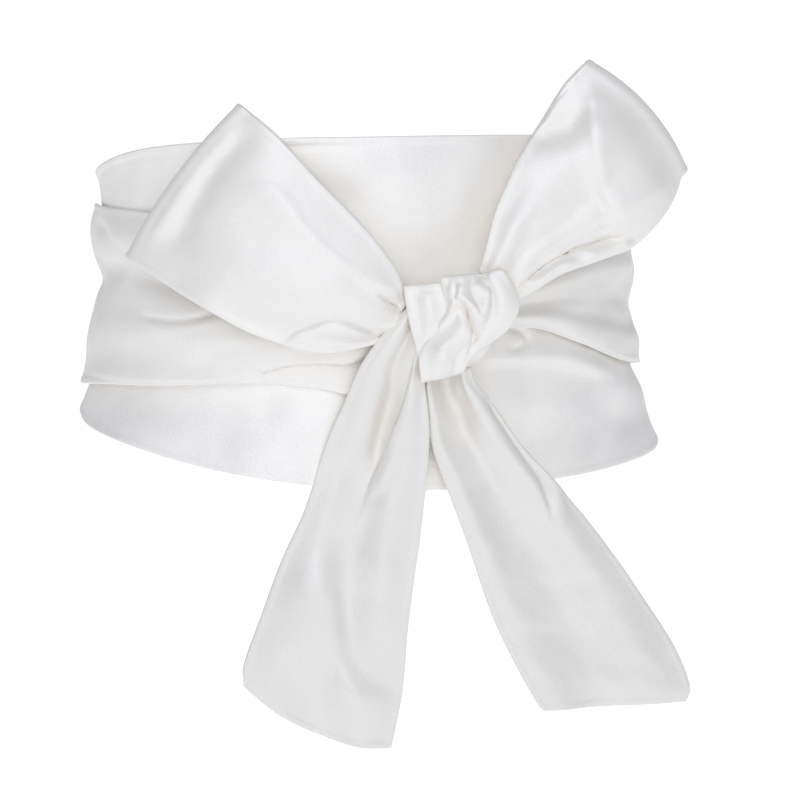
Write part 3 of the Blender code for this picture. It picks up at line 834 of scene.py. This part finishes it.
def build_core(material):
    """The gathered cloth inside the knot, a closed form with pleats over it."""
    rings, sides = CORE_RINGS, CORE_SIDES
    tilt = np.linspace(0, math.pi, rings + 1)[1:-1][:, None]
    angle = (np.arange(sides) * 2 * math.pi / sides)[None, :]
    pleats = np.sin(CORE_PLEATS * angle + CORE_TWIST * np.cos(tilt))
    swell = 1 + CORE_PLEAT_DEPTH * pleats * np.sin(tilt)
    right = CORE_RIGHT + CORE_HALF_WIDTH * swell * np.sin(tilt) * np.cos(angle)
    out = CORE_OUT + CORE_HALF_DEPTH * swell * np.sin(tilt) * np.sin(angle)
    up = CORE_UP + CORE_HALF_HEIGHT * np.cos(tilt)
    ring_points = bow_points(right, out, up).reshape(-1, 3)
    poles = bow_points(CORE_RIGHT, CORE_OUT, CORE_UP + CORE_HALF_HEIGHT * np.array([[1, -1]]))
    points = np.concatenate([ring_points, poles.reshape(-1, 3)])
    faces = []
    for i in range(sides):
        j = (i + 1) % sides
        faces.append((len(ring_points), j, i))
        for ring in range(rings - 2):
            a = ring * sides
            faces.append((a + i, a + j, a + sides + j, a + sides + i))
        last = (rings - 2) * sides
        faces.append((len(ring_points) + 1, last + i, last + j))
    mesh = bpy.data.meshes.new("knot_core_satin")
    mesh.from_pydata((points * MM).tolist(), [], faces)
    mesh.materials.append(material)
    mesh.shade_smooth()
    obj = bpy.data.objects.new("knot_core_satin", mesh)
    bpy.context.scene.collection.objects.link(obj)
    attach(obj, "root")
    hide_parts("knot_core")
    return obj


def add_noise(tree, vector, scale, detail):
    """A noise texture that reads this vector."""
    noise = tree.nodes.new("ShaderNodeTexNoise")
    noise.inputs["Scale"].default_value = scale
    noise.inputs["Detail"].default_value = detail
    tree.links.new(vector, noise.inputs["Vector"])
    return noise


def satin(name, colour, roughness, cloud_shade, painted_bounce_colour):
    """White satin: a fine weave along the cloth as bumps, painted sparkle of threads and painted shade of
    soft clouds in its colour, and painted warm bounce light that makes its hollows creamy.
    """
    material = bpy.data.materials.new(name)
    material.use_nodes = True
    tree = material.node_tree
    shader = tree.nodes["Principled BSDF"]
    shader.inputs["Roughness"].default_value = roughness
    for key, value in SHEEN.items():
        shader.inputs[key].default_value = value
    coords = tree.nodes.new("ShaderNodeUVMap")
    coords.uv_map = "cloth"
    stretch = tree.nodes.new("ShaderNodeMapping")
    stretch.inputs["Scale"].default_value = WEAVE_STRETCH
    tree.links.new(coords.outputs["UV"], stretch.inputs["Vector"])
    threads = add_noise(tree, stretch.outputs["Vector"], THREADS_SCALE, THREADS_DETAIL)
    slubs = add_noise(tree, stretch.outputs["Vector"], SLUBS_SCALE, SLUBS_DETAIL)
    both = tree.nodes.new("ShaderNodeMath")
    both.operation = "MULTIPLY_ADD"
    both.inputs[1].default_value = SLUBS_SHARE
    tree.links.new(slubs.outputs["Fac"], both.inputs[0])
    tree.links.new(threads.outputs["Fac"], both.inputs[2])
    bump = tree.nodes.new("ShaderNodeBump")
    bump.inputs["Strength"].default_value = BUMP_STRENGTH
    bump.inputs["Distance"].default_value = BUMP_DEPTH
    tree.links.new(both.outputs["Value"], bump.inputs["Height"])
    tree.links.new(bump.outputs["Normal"], shader.inputs["Normal"])
    # Painted shade and painted sparkle: cloud noise and the threads' noise darken the colour
    cloud_shade_noise = add_noise(tree, coords.outputs["UV"], CLOUD_SHADE_SCALE, CLOUD_SHADE_DETAIL)
    painted_shade_factor = tree.nodes.new("ShaderNodeMath")
    painted_shade_factor.operation = "MULTIPLY_ADD"
    painted_shade_factor.inputs[1].default_value = SPARKLE_SHARE
    tree.links.new(threads.outputs["Fac"], painted_shade_factor.inputs[0])
    tree.links.new(cloud_shade_noise.outputs["Fac"], painted_shade_factor.inputs[2])
    centred = tree.nodes.new("ShaderNodeMath")
    centred.operation = "SUBTRACT"
    centred.inputs[1].default_value = PAINTED_SHADE_CENTRE
    tree.links.new(painted_shade_factor.outputs["Value"], centred.inputs[0])
    painted_shade_mix = tree.nodes.new("ShaderNodeMix")
    painted_shade_mix.data_type = "RGBA"
    painted_shade_mix.inputs["A"].default_value = (*colour, 1.0)
    painted_shade_mix.inputs["B"].default_value = (*[cloud_shade * c for c in colour], 1.0)
    tree.links.new(centred.outputs["Value"], painted_shade_mix.inputs["Factor"])
    # Painted warm bounce light: occluded places take the lighter, warmer colour of the hollows
    painted_bounce_mask = tree.nodes.new("ShaderNodeAmbientOcclusion")
    painted_bounce_mask.samples = PAINTED_BOUNCE_SAMPLES
    painted_bounce_mask.inputs["Distance"].default_value = PAINTED_BOUNCE_REACH
    painted_bounce_mix = tree.nodes.new("ShaderNodeMix")
    painted_bounce_mix.data_type = "RGBA"
    painted_bounce_mix.inputs["A"].default_value = (*painted_bounce_colour, 1.0)
    tree.links.new(painted_bounce_mask.outputs["AO"], painted_bounce_mix.inputs["Factor"])
    tree.links.new(painted_shade_mix.outputs["Result"], painted_bounce_mix.inputs["B"])
    tree.links.new(painted_bounce_mix.outputs["Result"], shader.inputs["Base Color"])
    return material


def add_light(name, at, aim, size, power):
    data = bpy.data.lights.new(name, "AREA")
    data.shape = "RECTANGLE"
    data.size, data.size_y = size
    data.energy = power
    data.color = LIGHT_COLOUR
    obj = bpy.data.objects.new(name, data)
    obj.location = at
    obj.rotation_mode = "QUATERNION"
    obj.rotation_quaternion = (Vector(aim) - Vector(at)).to_track_quat("-Z", "Y")
    bpy.context.scene.collection.objects.link(obj)


def add_studio():
    """A bright room with a white floor far below the sash."""
    scene = bpy.context.scene
    scene.view_settings.view_transform = "Standard"
    world = bpy.data.worlds.new("studio")
    world.use_nodes = True
    background = world.node_tree.nodes["Background"]
    background.inputs["Color"].default_value = (*WORLD_COLOUR, 1.0)
    background.inputs["Strength"].default_value = WORLD_STRENGTH
    scene.world = world
    floor_mesh = bpy.data.meshes.new("floor")
    wide = FLOOR_HALF_WIDTH
    corners = [(-wide, -wide), (wide, -wide), (wide, wide), (-wide, wide)]
    floor_mesh.from_pydata([(x, y, FLOOR_UP) for x, y in corners], [], [(0, 1, 2, 3)])
    paper = bpy.data.materials.new("pale_floor")
    paper.use_nodes = True
    shader = paper.node_tree.nodes["Principled BSDF"]
    shader.inputs["Base Color"].default_value = (*FLOOR_COLOUR, 1.0)
    shader.inputs["Roughness"].default_value = FLOOR_ROUGHNESS
    shader.inputs["Emission Color"].default_value = (1.0, 1.0, 1.0, 1.0)
    shader.inputs["Emission Strength"].default_value = FLOOR_GLOW
    floor_mesh.materials.append(paper)
    floor = bpy.data.objects.new("floor", floor_mesh)
    scene.collection.objects.link(floor)
    for light in LIGHTS:
        add_light(*light)


def add_camera():
    turn, rise = math.radians(CAMERA_TURN), math.radians(CAMERA_RISE)
    back = Vector((math.sin(turn) * math.cos(rise), -math.cos(turn) * math.cos(rise), math.sin(rise)))
    data = bpy.data.cameras.new("camera")
    data.lens = CAMERA_LENS
    data.sensor_width = CAMERA_SENSOR
    data.clip_start, data.clip_end = CAMERA_NEAR, CAMERA_FAR
    camera = bpy.data.objects.new("camera", data)
    camera.location = Vector(CAMERA_AT) * MM + back * CAMERA_DISTANCE * MM
    camera.rotation_mode = "QUATERNION"
    camera.rotation_quaternion = (-back).to_track_quat("-Z", "Y")
    bpy.context.scene.collection.objects.link(camera)
    bpy.context.scene.camera = camera


def main():
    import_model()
    panel_satin, tie_satin, tail_satin, bow_satin = [satin(*row) for row in SATINS]
    panel = build_panel(panel_satin)
    tie_left = build_tie(
        "tie_left_satin", 1, TIE_LEFT, FOLDS_LEFT, CREASES_TIE_LEFT, ply=PLY_TIE_LEFT, seed=11,
        material=tie_satin)
    tie_right = build_tie(
        "tie_right_satin", -1, TIE_RIGHT, FOLDS_RIGHT, CREASES_TIE_RIGHT, ply=None, seed=21,
        material=tie_satin)
    loop_left = build_loop(
        "loop_left_satin", LOOP_LEFT, FOLDS_LOOP_LEFT, LOOP_LEFT_BOW, CREASES_LOOP_LEFT, fade=0.05, seed=31,
        length=130, material=bow_satin)
    loop_right = build_loop(
        "loop_right_satin", LOOP_RIGHT, FOLDS_LOOP_RIGHT, LOOP_RIGHT_BOW, CREASES_LOOP_RIGHT, fade=0.22,
        seed=41, length=120, material=bow_satin)
    tail_left = build_strip(
        "tail_left_satin", TAIL_LEFT, FOLDS_TAIL_LEFT, CREASES_TAIL_LEFT, ply=PLY_TAIL_LEFT, seed=51,
        size=(205, 70), step=1.2, material=tail_satin)
    tail_right = build_strip(
        "tail_right_satin", TAIL_RIGHT, FOLDS_TAIL_RIGHT, CREASES_TAIL_RIGHT, ply=None, seed=61,
        size=(185, 78), step=1.2, material=tail_satin)
    knot = build_strip(
        "knot_band_satin", KNOT, FOLDS_KNOT, CREASES_KNOT, ply=None, seed=71, size=(50, 32), step=0.7,
        material=bow_satin)
    ply = build_strip(
        "knot_ply_satin", KNOT_PLY, (), CREASES_PLY, ply=None, seed=81, size=(40, 18), step=0.8,
        material=bow_satin, node="knot_band")
    core = build_core(bow_satin)
    add_studio()
    add_camera()


main()
